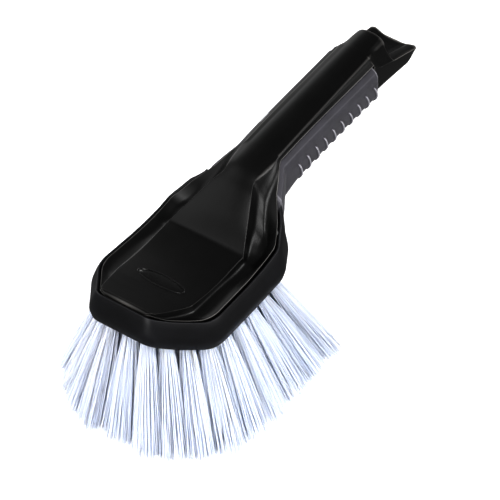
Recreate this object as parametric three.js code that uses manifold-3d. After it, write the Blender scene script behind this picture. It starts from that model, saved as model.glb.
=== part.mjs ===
// A short-handled wheel brush: one black moulded head and handle, a soft bumper round the head,
// a block of wire-set bristle tufts under it, and a soft grip on each side of the handle.
//
// Millimetres. +X runs from the nose of the head to the end of the handle, +Z is up and the
// bristles point down. The model is drawn with x = 0 at the nose and z = 0 at the lowest edge of
// the bumper, and the group then moves it so that its origin is on the resting plane, at the
// middle of the whole brush's box.

import * as THREE from 'three';
import { mergeVertices } from 'three/addons/utils/BufferGeometryUtils.js';
import Module from 'manifold-3d';

const wasm = await Module();
wasm.setup();

// ---- Driving dimensions -----------------------------------------------------------------

// Head outline, seen from above. Widths are whole widths.
const noseWidth = 43;
const noseLength = 35.6;
const headWidth = 93.6;
const sideLength = 69;
const sideEndWidth = 88.4;
const heelLength = 12.9;
const heelWidth = 73.6;
const headEndLength = 10.5;
const headEndWidth = 57;
const noseRadius = 12;
const sideRadius = 26;
const heelRadius = 14;

// How far the bumper's lower edge lifts off its lowest line.
const noseLift = 13.4;
const sideEndLift = 2;
const heelLift = 5.5;
const headEndLift = 17.5;

// Bumper strip.
const bumperHeight = 17.6;
const bumperDraft = 5.2;
const bumperUndercut = 2.2;
const bumperSkirt = 2.5;
const bumperBulgeHeight = 5.5;
const bumperLip = 1.3;
const bumperShort = 5;
const bumperSideRise = 5.2;
const bumperHeelRise = 11.2;
const bumperEndRise = 9.6;

// Raised panel on top of the head.
const panelNoseX = 9.2;
const panelNoseWidth = 37.4;
const panelWidth = 53;
const panelNoseTop = 31.2;
const panelShoulderTop = 22.3;
const panelWaistTop = 20.6;
const rampLength = 32.6;
const rampFootTop = 23;
const panelWallRun = 1.9;
const rimProud = 0.5;

// Neck and handle.
const neckToHeadEnd = 10;
const neckTop = 49.6;
const neckWidth = 19.2;
const handleMidTop = 59.3;
const tongueReach = 19.5;
const tongueEndTop = 66.2;
const tongueWidth = 14;
const shoulderLength = 13;
const handleLength = 92;
const handleEdgeWidth = 28.4;
const handleEdgeTop = 51.4;
const handleEndEdgeWidth = 29.2;
const handleEndEdgeTop = 59.1;
const handleBottomNear = 22;
const handleBottomMid = 27;
const handleBottomEnd = 35;
const tailReach = 21.5;
const tailWidth = 33.4;
const tailTop = 45.8;
const tailHollow = 1;
const tailBow = 3;
const tailUndercut = 8;

// Grips and their ribs.
const gripThickness = 5.8;
const gripBulge = 4;
const gripRidge = 2.2;
const gripGap = 1.3;
const ribCount = 10;
const ribPitch = 8.4;
const ribSetback = 6;
const ribWidth = 3;
const ribHeight = 0.8;
const ribLean = 4.7;
const ribTopDepth = 10.5;

// Bristle block and tufts.
const blockThickness = 9;
const blockRecess = 1.2;
const blockBeyondSide = 3.4;
const bristleDrop = 71;
const holeDepth = 6;
const holeDiameter = 7;
const edgeToHole = 5.8;
const rowPitch = 11.5;
const outerTufts = 24;
const middleTufts = 15;
const innerTufts = 5;
const noseSpread = 1.24;
const heelSpread = 1.62;
const sideSpread = 1.74;
const noseCornerPush = 25;
const heelCornerPush = 12;
const tuftSides = 8;

// Oval badge, left blank.
const badgeX = 42;
const badgeLength = 34;
const badgeWidth = 11;
const badgeDepth = 1.4;
const badgeSides = 28;

// Clearances.
const clearance = 0.4;
const tuftClearance = 0.7;

// ---- Places along x that follow from the dimensions ----------------------------------------

const sideEnd = noseLength + sideLength;
const heelX = sideEnd + heelLength;
const headLength = heelX + headEndLength;
const bumperEnd = headLength - bumperShort;
const blockEnd = sideEnd + blockBeyondSide;
const neckX = headLength - neckToHeadEnd;
const rampStart = neckX - rampLength;
const handleSideStart = headLength + shoulderLength;
const gripStart = bumperEnd + gripGap;
const gripEnd = handleSideStart + handleLength;
const handleMidX = handleSideStart + handleLength * 0.48;
const tongueEnd = gripEnd + tongueReach;
const brushLength = tongueEnd + tailReach;
const tailBottomX = brushLength - tailUndercut;

// ---- Small helpers ----------------------------------------------------------------------

// A smooth function through [x, value] points, which never overshoots them.
function through(points) {
  const slopes = points.slice(1).map((p, i) => (p[1] - points[i][1]) / (p[0] - points[i][0]));
  const tangents = points.map((p, i) => {
    const before = slopes[Math.max(i - 1, 0)];
    const after = slopes[Math.min(i, slopes.length - 1)];
    return before * after <= 0 ? 0 : (2 * before * after) / (before + after);
  });
  return (x) => {
    if (x <= points[0][0]) return points[0][1];
    const last = points.length - 1;
    if (x >= points[last][0]) return points[last][1];
    const i = points.findIndex((p) => p[0] > x) - 1;
    const span = points[i + 1][0] - points[i][0];
    const t = (x - points[i][0]) / span;
    const start = points[i][1] * (1 + 2 * t) * (1 - t) ** 2;
    const end = points[i + 1][1] * (3 - 2 * t) * t ** 2;
    const leave = tangents[i] * span * t * (1 - t) ** 2;
    const arrive = tangents[i + 1] * span * t ** 2 * (t - 1);
    return start + end + leave + arrive;
  };
}

function mix(a, b, t) {
  return a + (b - a) * t;
}

// One closed solid through rings of [x, y, z] points, all with the same number of points.
// Each ring runs the same way round, and the two ends are closed flat.
function skin(rings) {
  const count = rings[0].length;
  const positions = rings.flat(2);
  const index = [];
  for (let r = 0; r < rings.length - 1; r += 1) {
    for (let i = 0; i < count; i += 1) {
      const a = r * count + i;
      const b = r * count + ((i + 1) % count);
      index.push(a, b, b + count, a, b + count, a + count);
    }
  }
  const cap = (ring, offset, flip) => {
    const centre = new THREE.Vector3();
    ring.forEach((p) => centre.add(new THREE.Vector3(...p)));
    centre.divideScalar(count);
    const normal = new THREE.Vector3();
    ring.forEach((p, i) => {
      const here = new THREE.Vector3(...p).sub(centre);
      const next = new THREE.Vector3(...ring[(i + 1) % count]).sub(centre);
      normal.add(here.cross(next));
    });
    normal.normalize();
    const across = new THREE.Vector3(...ring[1]).sub(new THREE.Vector3(...ring[0]));
    across.addScaledVector(normal, -across.dot(normal)).normalize();
    const up = normal.clone().cross(across);
    const flat = ring.map((p) => {
      const v = new THREE.Vector3(...p).sub(centre);
      return new THREE.Vector2(v.dot(across), v.dot(up));
    });
    for (const [a, b, c] of THREE.ShapeUtils.triangulateShape(flat, [])) {
      index.push(...(flip ? [offset + c, offset + b, offset + a] : [offset + a, offset + b, offset + c]));
    }
  };
  cap(rings[0], 0, true);
  cap(rings[rings.length - 1], (rings.length - 1) * count, false);
  const geometry = new THREE.BufferGeometry();
  geometry.setAttribute('position', new THREE.Float32BufferAttribute(positions, 3));
  geometry.setIndex(index);
  return outward(geometry);
}

// The same geometry with its faces pointing out.
function outward(geometry) {
  const position = geometry.getAttribute('position');
  const corners = geometry.getIndex().array;
  const a = new THREE.Vector3();
  const b = new THREE.Vector3();
  const c = new THREE.Vector3();
  let volume = 0;
  for (let i = 0; i < corners.length; i += 3) {
    a.fromBufferAttribute(position, corners[i]);
    b.fromBufferAttribute(position, corners[i + 1]);
    c.fromBufferAttribute(position, corners[i + 2]);
    volume += a.dot(b.cross(c));
  }
  if (volume < 0) {
    for (let i = 0; i < corners.length; i += 3) {
      [corners[i], corners[i + 1]] = [corners[i + 1], corners[i]];
    }
  }
  return geometry;
}

function solid(geometry) {
  const plain = geometry.clone();
  plain.deleteAttribute('normal');
  plain.deleteAttribute('uv');
  const merged = mergeVertices(plain, 1e-5);
  return new wasm.Manifold(new wasm.Mesh({
    numProp: 3,
    vertProperties: new Float32Array(merged.getAttribute('position').array),
    triVerts: new Uint32Array(merged.getIndex().array),
  }));
}

function fromSolid(manifold) {
  const mesh = manifold.getMesh();
  const geometry = new THREE.BufferGeometry();
  geometry.setAttribute('position', new THREE.Float32BufferAttribute(mesh.vertProperties, 3));
  geometry.setIndex([...mesh.triVerts]);
  return geometry;
}

function named(name, geometry, finish) {
  geometry.computeVertexNormals();
  const mesh = new THREE.Mesh(geometry, new THREE.MeshStandardMaterial(finish));
  mesh.name = name;
  return mesh;
}

const blackPlastic = { color: 0x151517, roughness: 0.42, metalness: 0 };
const blackRubber = { color: 0x232325, roughness: 0.55, metalness: 0 };
const greyRubber = { color: 0x4b4b51, roughness: 0.7, metalness: 0 };
const whiteBristle = { color: 0xf1f6fb, roughness: 0.5, metalness: 0 };

// ---- Head outline and heights -----------------------------------------------------------

// The right-hand half of the head's outline from the nose's middle to the head's end, moved
// inward by `inset`, as [x, half width] points. Every inset has the same number of points.
function headOutline(inset) {
  const corners = [
    [0, 0],
    [0, noseWidth / 2],
    [noseLength, headWidth / 2],
    [sideEnd, sideEndWidth / 2],
    [heelX, heelWidth / 2],
    [headLength, headEndWidth / 2],
  ].map((p) => new THREE.Vector2(...p));
  const edges = corners.slice(1).map((end, i) => {
    const along = end.clone().sub(corners[i]).normalize();
    const inwardNormal = new THREE.Vector2(along.y, -along.x);
    return { along, origin: corners[i].clone().addScaledVector(inwardNormal, inset) };
  });
  const meet = (p, q) => {
    const gap = q.origin.clone().sub(p.origin);
    const t = gap.cross(q.along) / p.along.cross(q.along);
    return p.origin.clone().addScaledVector(p.along, t);
  };
  const radii = [noseRadius, sideRadius, heelRadius, heelRadius];
  const points = [edges[0].origin.clone()];
  radii.forEach((radius, i) => {
    const corner = meet(edges[i], edges[i + 1]);
    const into = edges[i].along;
    const out = edges[i + 1].along;
    const half = Math.acos(into.dot(out)) / 2;
    const reach = (radius - inset * 0.5) * Math.tan(half);
    const start = corner.clone().addScaledVector(into, -reach);
    const end = corner.clone().addScaledVector(out, reach);
    for (const t of [0, 1 / 4, 1 / 2, 3 / 4, 1]) {
      const a = start.clone().lerp(corner, t);
      const b = corner.clone().lerp(end, t);
      points.push(a.lerp(b, t));
    }
  });
  const last = edges[edges.length - 1];
  const reachX = headLength - last.origin.x;
  points.push(last.origin.clone().addScaledVector(last.along, reachX / last.along.x));
  return points.map((p) => [p.x, p.y]);
}

// The half width of an outline at a given x.
function halfAt(outline, x) {
  const i = Math.max(outline.findIndex((p) => p[0] > x), 1);
  const [x0, y0] = outline[i - 1];
  const [x1, y1] = outline[i];
  return x1 === x0 ? y1 : mix(y0, y1, (x - x0) / (x1 - x0));
}

const soleAt = through([
  [0, noseLift],
  [noseLength / 2, noseLift * 0.36],
  [noseLength, 0],
  [(noseLength + sideEnd) / 2, 0.3],
  [sideEnd, sideEndLift],
  [heelX, heelLift],
  [headLength, headEndLift],
]);

// The bumper is taller where it climbs towards the neck.
const bumperHeightAt = through([
  [rampStart + 8, bumperHeight],
  [sideEnd, bumperHeight + bumperSideRise],
  [heelX, bumperHeight + bumperHeelRise],
  [bumperEnd, bumperHeight + bumperEndRise],
]);

const bumperInner = bumperDraft + bumperLip;
const bodyInset = bumperInner + clearance;
const bodyOutline = headOutline(bodyInset);
const bodyNoseX = bodyInset;

// ---- Rails of the body: half widths and heights along x -----------------------------------

const handleTopAt = through([
  [neckX, neckTop],
  [mix(neckX, handleMidX, 0.35), mix(neckTop, handleMidTop, 0.46)],
  [handleMidX, handleMidTop],
  [tongueEnd, tongueEndTop],
]);

const panelHalfAt = (x) => {
  if (x <= noseLength) {
    const t = (x - panelNoseX) / (noseLength - panelNoseX);
    return mix(panelNoseWidth / 2, panelWidth / 2, Math.max(t, 0) ** 0.8);
  }
  if (x <= rampStart) return panelWidth / 2;
  if (x <= neckX) return mix(panelWidth / 2, neckWidth / 2, (x - rampStart) / (neckX - rampStart));
  return mix(neckWidth / 2, tongueWidth / 2, (x - neckX) / (tongueEnd - neckX));
};

const deckTopAt = through([
  [panelNoseX, panelNoseTop],
  [mix(panelNoseX, noseLength, 0.5), mix(panelNoseTop, panelShoulderTop, 0.56)],
  [noseLength, panelShoulderTop],
  [mix(noseLength, rampStart, 0.45), panelWaistTop],
  [rampStart, rampFootTop],
]);

const rampLift = 1.6;
const rampTopAt = through([
  [rampStart, rampFootTop],
  [mix(rampStart, neckX, 0.5), mix(rampFootTop, neckTop, 0.5)],
  [mix(rampStart, neckX, 0.86), mix(rampFootTop, neckTop, 0.86) - rampLift / 4],
  [neckX + 6, handleTopAt(neckX + 6)],
  [neckX + 22, handleTopAt(neckX + 22)],
]);

const panelTopAt = (x) => {
  if (x <= rampStart) return deckTopAt(x);
  return x <= neckX + 22 ? rampTopAt(x) : handleTopAt(x);
};

const crownAt = through([
  [panelNoseX, 0.3],
  [noseLength, 0.6],
  [rampStart, 0.7],
  [mix(rampStart, neckX, 0.4), 3],
  [neckX, 1.6],
  [tongueEnd, 1.2],
]);

// The outer edge of the upper side: the rim of the head, then the grip's front edge on the
// neck, then the line along the handle where the grip starts.
const rimEndHalf = halfAt(bodyOutline, bumperEnd);
const edgeHalfTail = through([
  [bumperEnd, rimEndHalf],
  [mix(bumperEnd, handleSideStart, 0.5), mix(rimEndHalf, handleEdgeWidth / 2, 0.5)],
  [handleSideStart, handleEdgeWidth / 2],
  [gripEnd, handleEndEdgeWidth / 2],
]);
const edgeHalfAt = (x) => (x <= bumperEnd ? halfAt(bodyOutline, x) : edgeHalfTail(x));

const rimTopAt = (x) => soleAt(x) + bumperHeightAt(x) + rimProud;
const edgeTopAt = through([
  [bodyNoseX, noseLift + bumperHeight],
  [noseLength / 2, rimTopAt(noseLength / 2) + rimProud],
  [noseLength, rimTopAt(noseLength)],
  [(noseLength + sideEnd) / 2, rimTopAt((noseLength + sideEnd) / 2)],
  [rampStart + 8, rimTopAt(rampStart + 8)],
  [sideEnd, rimTopAt(sideEnd)],
  [heelX, rimTopAt(heelX) + rimProud],
  [bumperEnd, rimTopAt(bumperEnd) + rimProud],
  [mix(bumperEnd, handleSideStart, 0.5), mix(rimTopAt(bumperEnd), handleEdgeTop, 0.54)],
  [handleSideStart, handleEdgeTop],
  [gripEnd, handleEndEdgeTop],
]);

// The foot of the panel's wall, and the lowest line of the hollow between that foot and the rim.
// Each row is a place along x and the two lines' shares of the way across and down to the rim.
const flank = [
  [panelNoseX, 0.3, 0.9, 0.7, 1],
  [noseLength, 0.13, 1.12, 0.7, 1.2],
  [rampStart, 0.14, 1.45, 0.6, 1.7],
  [mix(rampStart, neckX, 0.45), 0.2, 0.72, 0.58, 1.06],
  [mix(rampStart, neckX, 0.7), 0.22, 0.55, 0.57, 0.95],
  [neckX, 0.26, 0.42, 0.55, 0.74],
  [mix(neckX, handleSideStart, 0.5), 0.42, 0.46, 0.66, 0.8],
  [handleSideStart, 0.62, 0.5, 0.84, 0.75],
  [gripEnd, 0.6, 0.5, 0.84, 0.8],
];
const footShareAt = through(flank.map(([x, across]) => [x, across]));
const footDropAt = through(flank.map(([x, , down]) => [x, down]));
const hollowShareAt = through(flank.map(([x, , , across]) => [x, across]));
const hollowDropAt = through(flank.map(([x, , , , down]) => [x, down]));

// How far the narrow facet beside the top opens between the neck and the handle.
const facetShareAt = through([
  [neckX, 0.03],
  [mix(neckX, handleSideStart, 0.5), 0.26],
  [handleSideStart, 0.5],
  [gripEnd, 0.45],
]);

// The underside: above the block, then the neck, then the handle.
const handleBottomAt = through([
  [blockEnd + 1, soleAt(blockEnd) + blockRecess + 0.6],
  [heelX, soleAt(heelX) + 1],
  [bumperEnd, soleAt(bumperEnd) - 0.5],
  [gripStart + 6, mix(soleAt(bumperEnd), handleBottomNear, 0.35)],
  [handleSideStart, handleBottomNear],
  [handleSideStart + 16, handleBottomMid],
  [gripEnd, handleBottomEnd - 1],
  [tailBottomX, handleBottomEnd],
]);
const undersideAt = (x) => {
  if (x <= blockEnd + clearance) return soleAt(x) + blockRecess + blockThickness + clearance;
  return handleBottomAt(x);
};

// ---- Handle body ------------------------------------------------------------------------

// How far the body's side stands in under the rim or facet edge, where a grip lies on it.
const seatDepthAt = (x) => {
  const seated = x > gripStart - clearance && x < gripEnd + clearance;
  return seated ? gripThickness - gripBulge : 0;
};

// How far the facet's outer line falls, as a share of the facet's own width.
const facetFall = 0.3;

function halfSection(x) {
  const edgeHalf = edgeHalfAt(x);
  const panelHalf = Math.min(panelHalfAt(x), edgeHalf - 1);
  const panelTop = panelTopAt(x);
  const edgeTop = Math.min(edgeTopAt(x), panelTop - 0.3);
  const crown = crownAt(x);
  const seat = seatDepthAt(x);
  const bottom = undersideAt(x);
  const run = edgeHalf - panelHalf;
  const drop = panelTop - edgeTop;
  const facet = facetShareAt(x);
  const round = x > bumperEnd ? 4 : 0.6;
  return [
    [0, panelTop + crown],
    [panelHalf * 0.55, panelTop + crown * 0.78],
    [panelHalf, panelTop],
    [panelHalf + run * facet, panelTop - (x > handleSideStart ? drop : run) * facet * facetFall - 0.1],
    [panelHalf + run * footShareAt(x), panelTop - drop * footDropAt(x)],
    [panelHalf + run * hollowShareAt(x), panelTop - drop * hollowDropAt(x)],
    [edgeHalf, edgeTop],
    [edgeHalf - seat, edgeTop - 0.6],
    [edgeHalf - seat, bottom + round],
    [edgeHalf - seat - round, bottom],
    [0, bottom],
  ];
}

// A whole ring at x from its right-hand half. `bow` carries its sides back behind its middle.
function ringOf(half, x, bow = 0) {
  const place = (y) => x + bow * (y / (tailWidth / 2)) ** 2;
  const right = half.map(([y, z]) => [place(y), -y, z]);
  const left = half.slice(1, -1).reverse().map(([y, z]) => [place(y), y, z]);
  return [...right, ...left];
}

// The end of the handle. The raised tongue stops round, and the tail under it flares out.
function tailRings() {
  const startX = gripEnd + clearance + 0.3;
  const start = halfSection(startX);
  const span = brushLength - startX;
  const steps = [
    { x: mix(startX, tongueEnd, 0.5), narrow: 1, fall: 0 },
    { x: mix(startX, tongueEnd, 0.82), narrow: 0.97, fall: 0.02 },
    { x: tongueEnd - 0.8, narrow: 0.8, fall: 0.08 },
    { x: tongueEnd, narrow: 0.7, fall: 0.7 },
    { x: mix(tongueEnd, brushLength, 0.4), narrow: 0.6, fall: 0.94 },
    { x: mix(tongueEnd, brushLength, 0.75), narrow: 0.75, fall: 1 },
    { x: brushLength, narrow: 0.85, fall: 1 },
  ];
  return steps.map(({ x, narrow, fall }) => {
    const flare = (x - startX) / span;
    const shoulderHalf = mix(start[6][0], tailWidth / 2, flare ** 1.4);
    const shoulderTop = mix(start[6][1], tailTop, Math.sqrt(flare));
    const floorTop = tailTop - tailHollow;
    const rise = Math.max((x - tailBottomX) / (brushLength - tailBottomX), 0);
    const floor = mix(handleBottomAt(x), floorTop - 3, rise ** 1.5);
    const topHalf = panelHalfAt(tongueEnd) * narrow;
    const top = mix(panelTopAt(Math.min(x, tongueEnd)), floorTop, fall);
    const crown = crownAt(tongueEnd) * (1 - fall);
    const half = [
      [0, top + crown],
      [topHalf * 0.55, top + crown * 0.78],
      [topHalf, top],
      [mix(topHalf, shoulderHalf, 0.3), mix(top, shoulderTop, 0.15)],
      [mix(topHalf, shoulderHalf, 0.5 * narrow), mix(top, shoulderTop, 0.5)],
      [mix(topHalf, shoulderHalf, 0.6 * narrow + 0.2), mix(top, shoulderTop, 0.82)],
      [shoulderHalf, shoulderTop],
      [shoulderHalf, shoulderTop - 0.9],
      [shoulderHalf - mix(0.3, 0.9, flare), Math.min(floor + 3, shoulderTop - 1.6)],
      [shoulderHalf - 3.6, floor],
      [0, floor],
    ];
    return ringOf(half, x, tailBow * flare);
  });
}

function stationsBetween(from, to, count) {
  return Array.from({ length: count }, (_, i) => mix(from, to, i / count));
}

// Every x at which the head, and the block under it, has a section.
function headStations() {
  const places = [
    bodyNoseX,
    mix(bodyNoseX, panelNoseX, 0.6),
    ...stationsBetween(panelNoseX, noseLength, 5),
    ...stationsBetween(noseLength, rampStart, 5),
    ...stationsBetween(rampStart, blockEnd, 4),
    ...bodyOutline.map((p) => p[0]),
  ];
  const inOrder = places.filter((x) => x >= bodyNoseX && x < blockEnd - 0.5).sort((a, b) => a - b);
  const spaced = [];
  for (const x of inOrder) {
    if (spaced.length === 0 || x - spaced[spaced.length - 1] > 0.5) spaced.push(x);
  }
  return [...spaced, blockEnd];
}

function bodyGeometry() {
  const stations = [
    ...headStations(),
    blockEnd + clearance,
    blockEnd + clearance + 0.6,
    ...stationsBetween(mix(blockEnd, neckX, 0.4), bumperEnd, 4),
    bumperEnd,
    gripStart - clearance - 0.2,
    gripStart - clearance + 0.2,
    ...stationsBetween(gripStart + 3, handleSideStart, 4),
    ...stationsBetween(handleSideStart, gripEnd, 9),
    gripEnd + clearance - 0.1,
    gripEnd + clearance + 0.3,
  ];
  const rings = stations.map((x) => ringOf(halfSection(x), x));
  return skin([...rings, ...tailRings()]);
}

// An upright oval prism that lies on the panel's slope at the badge.
function badgePrism(grow, low, high) {
  const span = badgeWidth / 2;
  const slope = (panelTopAt(badgeX + span) - panelTopAt(badgeX - span)) / badgeWidth;
  const heights = [low, high];
  const rings = heights.map((height) => Array.from({ length: badgeSides }, (_, i) => {
    const angle = (2 * Math.PI * i) / badgeSides;
    const across = Math.cos(angle) * (badgeWidth / 2 + grow);
    const along = Math.sin(angle) * (badgeLength / 2 + grow);
    const level = panelTopAt(badgeX) + crownAt(badgeX) * 0.85;
    return [badgeX + across, along, level + slope * across + height];
  }));
  return skin(rings);
}

// ---- Bumper, block and grips --------------------------------------------------------------

function bumperGeometry() {
  const base = headOutline(0);
  const foot = headOutline(bumperUndercut);
  const top = headOutline(bumperDraft);
  const inner = headOutline(bumperInner);
  const keep = base.findIndex((p) => p[0] > bumperEnd);
  const share = (bumperEnd - base[keep - 1][0]) / (base[keep][0] - base[keep - 1][0]);
  const pick = (outline, i) => {
    if (i < keep) return outline[i];
    const [a, b] = [outline[keep - 1], outline[keep]];
    return [bumperEnd, mix(a[1], b[1], share)];
  };
  const section = (i, side) => {
    const level = soleAt(i < keep ? base[i][0] : bumperEnd);
    const height = bumperHeightAt(i < keep ? base[i][0] : bumperEnd);
    const [outX, outY] = pick(base, i);
    const [footX, footY] = pick(foot, i);
    const [topX, topY] = pick(top, i);
    const [inX, inY] = pick(inner, i);
    return [
      [footX, side * footY, level - bumperSkirt],
      [outX, side * outY, level + bumperBulgeHeight],
      [mix(outX, topX, 0.6), side * mix(outY, topY, 0.6), level + height - 3],
      [topX, side * topY, level + height],
      [inX, side * inY, level + height],
      [inX, side * inY, level - bumperSkirt],
    ];
  };
  const indices = Array.from({ length: keep + 1 }, (_, i) => i);
  const right = indices.slice(1).reverse().map((i) => section(i, -1));
  const left = indices.map((i) => section(i, 1));
  return skin([...right, ...left]);
}

function blockGeometry() {
  return skin(headStations().map((x) => {
    const half = halfAt(bodyOutline, x);
    const low = soleAt(x) + blockRecess;
    return ringOf([[0, low + blockThickness], [half, low + blockThickness], [half, low], [0, low]], x);
  }));
}

const gripTopAt = (x) => edgeTopAt(x) - 1.1;

function gripSection(x, side) {
  const edge = edgeHalfAt(x);
  const inner = edge - (gripThickness - gripBulge) + clearance;
  const outer = edge + gripBulge;
  const top = gripTopAt(x);
  const bottom = handleBottomAt(x) + 0.3;
  return [
    [x, side * inner, top],
    [x, side * edge, top],
    [x, side * (edge + gripRidge), top - gripRidge],
    [x, side * outer, mix(top, bottom, 0.42)],
    [x, side * (outer - 0.5), bottom + 4],
    [x, side * (edge + 1), bottom],
    [x, side * inner, bottom],
  ];
}

// One slanted rib on the lower half of a grip's side.
function ribGeometry(x, side) {
  const top = gripTopAt(x) - ribTopDepth;
  const bottom = handleBottomAt(x) + 3.6;
  const bar = (height, shift, inward) => {
    const face = edgeHalfAt(x + shift) + gripBulge - inward;
    const low = side * (face - 1.4);
    const high = side * (face + ribHeight);
    const slim = ribWidth * 0.3;
    return [
      [x + shift - ribWidth / 2, low, height],
      [x + shift + ribWidth / 2, low, height],
      [x + shift + slim, high, height],
      [x + shift - slim, high, height],
    ];
  };
  return skin([bar(top, 0, 0), bar(bottom, ribLean, 0.4)]);
}

function gripGeometry(side) {
  const stations = [
    ...stationsBetween(gripStart, handleSideStart, 5),
    ...stationsBetween(handleSideStart, gripEnd, 12),
    gripEnd,
  ];
  let grip = solid(skin(stations.map((x) => gripSection(x, side))));
  for (let i = 0; i < ribCount; i += 1) {
    grip = grip.add(solid(ribGeometry(gripEnd - ribSetback - ribPitch * i, side)));
  }
  return fromSolid(grip);
}

// ---- Tufts ------------------------------------------------------------------------------

const fanCentre = (bodyInset + blockEnd) / 2;

// A row keeps about its inset from the slanted edges when it is drawn from the half width a
// little nearer the nose, less a little under the inset.
const rowLag = 0.55;
const rowShrink = 0.92;

function apart(p, q) {
  return Math.hypot(q[0] - p[0], q[1] - p[1]);
}

// Evenly spaced [x, y] points round a closed row, which lies `inset` inside the block's edge.
function rowPoints(inset, count, turn) {
  const outline = bodyOutline;
  const front = outline[0][0] + inset;
  const back = blockEnd - inset;
  const steps = 60;
  const right = Array.from({ length: steps + 1 }, (_, i) => {
    const x = mix(front, back, i / steps);
    const before = halfAt(outline, Math.max(x - inset * rowLag, front - inset + 0.01));
    const here = halfAt(outline, x);
    return [x, Math.max(Math.min(before, here) - inset * rowShrink, 0)];
  });
  const loop = [[front, 0], ...right.map(([x, y]) => [x, -y]), ...right.reverse()];
  const lengths = loop.map((p, i) => apart(p, loop[(i + 1) % loop.length]));
  const total = lengths.reduce((sum, length) => sum + length, 0);
  return Array.from({ length: count }, (_, k) => {
    let rest = ((k + turn) / count) * total;
    let i = 0;
    while (rest > lengths[i]) {
      rest -= lengths[i];
      i = (i + 1) % loop.length;
    }
    const next = loop[(i + 1) % loop.length];
    return [mix(loop[i][0], next[0], rest / lengths[i]), mix(loop[i][1], next[1], rest / lengths[i])];
  });
}

// Where a tuft's tip goes. The fan's corners reach further along x than its middle does.
function spread([x, y]) {
  const ahead = x < fanCentre;
  const along = (x - fanCentre) / (blockEnd - fanCentre);
  const across = (y / (headWidth / 2 - bodyInset)) ** 2;
  const push = (ahead ? noseCornerPush : heelCornerPush) * along * across;
  return [fanCentre + (x - fanCentre) * (ahead ? noseSpread : heelSpread) + push, y * sideSpread];
}

function nearestGap(points, i) {
  return Math.min(...points.filter((_, k) => k !== i).map((p) => apart(p, points[i])));
}

function tuftRing([x, y, z], radius) {
  return Array.from({ length: tuftSides }, (_, i) => {
    const angle = (2 * Math.PI * (i + 0.5)) / tuftSides;
    return [x + Math.cos(angle) * radius, y + Math.sin(angle) * radius, z];
  });
}

// Root, mouth and tip of every tuft, with its radii.
function tuftPlan() {
  const last = blockEnd - edgeToHole - 2 * rowPitch;
  const first = bodyNoseX + edgeToHole + 2 * rowPitch;
  const inner = Array.from({ length: innerTufts }, (_, i) => [mix(first, last, i / (innerTufts - 1)), 0]);
  const bases = [
    ...rowPoints(edgeToHole, outerTufts, 0),
    ...rowPoints(edgeToHole + rowPitch, middleTufts, 0.5),
    ...inner,
  ];
  const tips = bases.map(spread);
  return bases.map(([x, y], i) => {
    const [tipX, tipY] = tips[i];
    const mouthZ = soleAt(x) + blockRecess;
    const drop = mouthZ + bristleDrop;
    const lean = [(tipX - x) / drop, (tipY - y) / drop];
    const depth = holeDepth - clearance;
    return {
      root: [x - lean[0] * depth, y - lean[1] * depth, mouthZ + depth],
      mouth: [x + lean[0], y + lean[1], mouthZ - 1],
      tip: [tipX, tipY, -bristleDrop],
      rootRadius: holeDiameter / 2 - clearance,
      tipRadius: nearestGap(tips, i) / 2 - tuftClearance,
      hole: [
        [x - lean[0] * holeDepth, y - lean[1] * holeDepth, mouthZ + holeDepth],
        [x + lean[0] * 6, y + lean[1] * 6, mouthZ - 6],
      ],
    };
  });
}

function tuftGeometry(tuft) {
  return skin([
    tuftRing(tuft.root, tuft.rootRadius),
    tuftRing(tuft.mouth, tuft.rootRadius),
    tuftRing(tuft.tip, tuft.tipRadius),
  ]);
}

// ---- Assembly ---------------------------------------------------------------------------

const tufts = tuftPlan();

const pocket = solid(badgePrism(clearance, -badgeDepth - clearance, 6));
const body = fromSolid(solid(bodyGeometry()).subtract(pocket));

let block = solid(blockGeometry());
for (const tuft of tufts) {
  const rings = tuft.hole.map((centre) => tuftRing(centre, holeDiameter / 2));
  block = block.subtract(solid(skin(rings)));
}

const brush = new THREE.Group();
brush.add(
  named('handle_body', body, blackPlastic),
  named('head_bumper', bumperGeometry(), blackRubber),
  named('bristle_block', fromSolid(block), blackPlastic),
  named('grip_right', gripGeometry(-1), greyRubber),
  named('grip_left', gripGeometry(1), greyRubber),
  named('badge_insert', badgePrism(0, -badgeDepth, -0.15), blackPlastic),
);
tufts.forEach((tuft, i) => {
  brush.add(named(`tuft_${String(i + 1).padStart(2, '0')}`, tuftGeometry(tuft), whiteBristle));
});

// The origin goes to the middle of the box, on the plane that the bristle tips rest on.
const box = new THREE.Box3().setFromObject(brush);
brush.position.set(-(box.min.x + box.max.x) / 2, -(box.min.y + box.max.y) / 2, bristleDrop);

const model = new THREE.Group();
model.add(brush);
export default model;
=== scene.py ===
"""A short-handled wheel brush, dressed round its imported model.

The handle body, bumper, grips, badge and every bristle tuft are built here as fine meshes in the
places of their CAD nodes. Sizes are millimetres in the drawing frame, where x = 0 is the nose of
the head and z = 0 the bumper's lowest line, and `Placing` turns them to metres in the row frame.
"""

import logging
import math
import random
from collections.abc import Callable, Sequence
from dataclasses import dataclass, field
from enum import Enum

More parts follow.
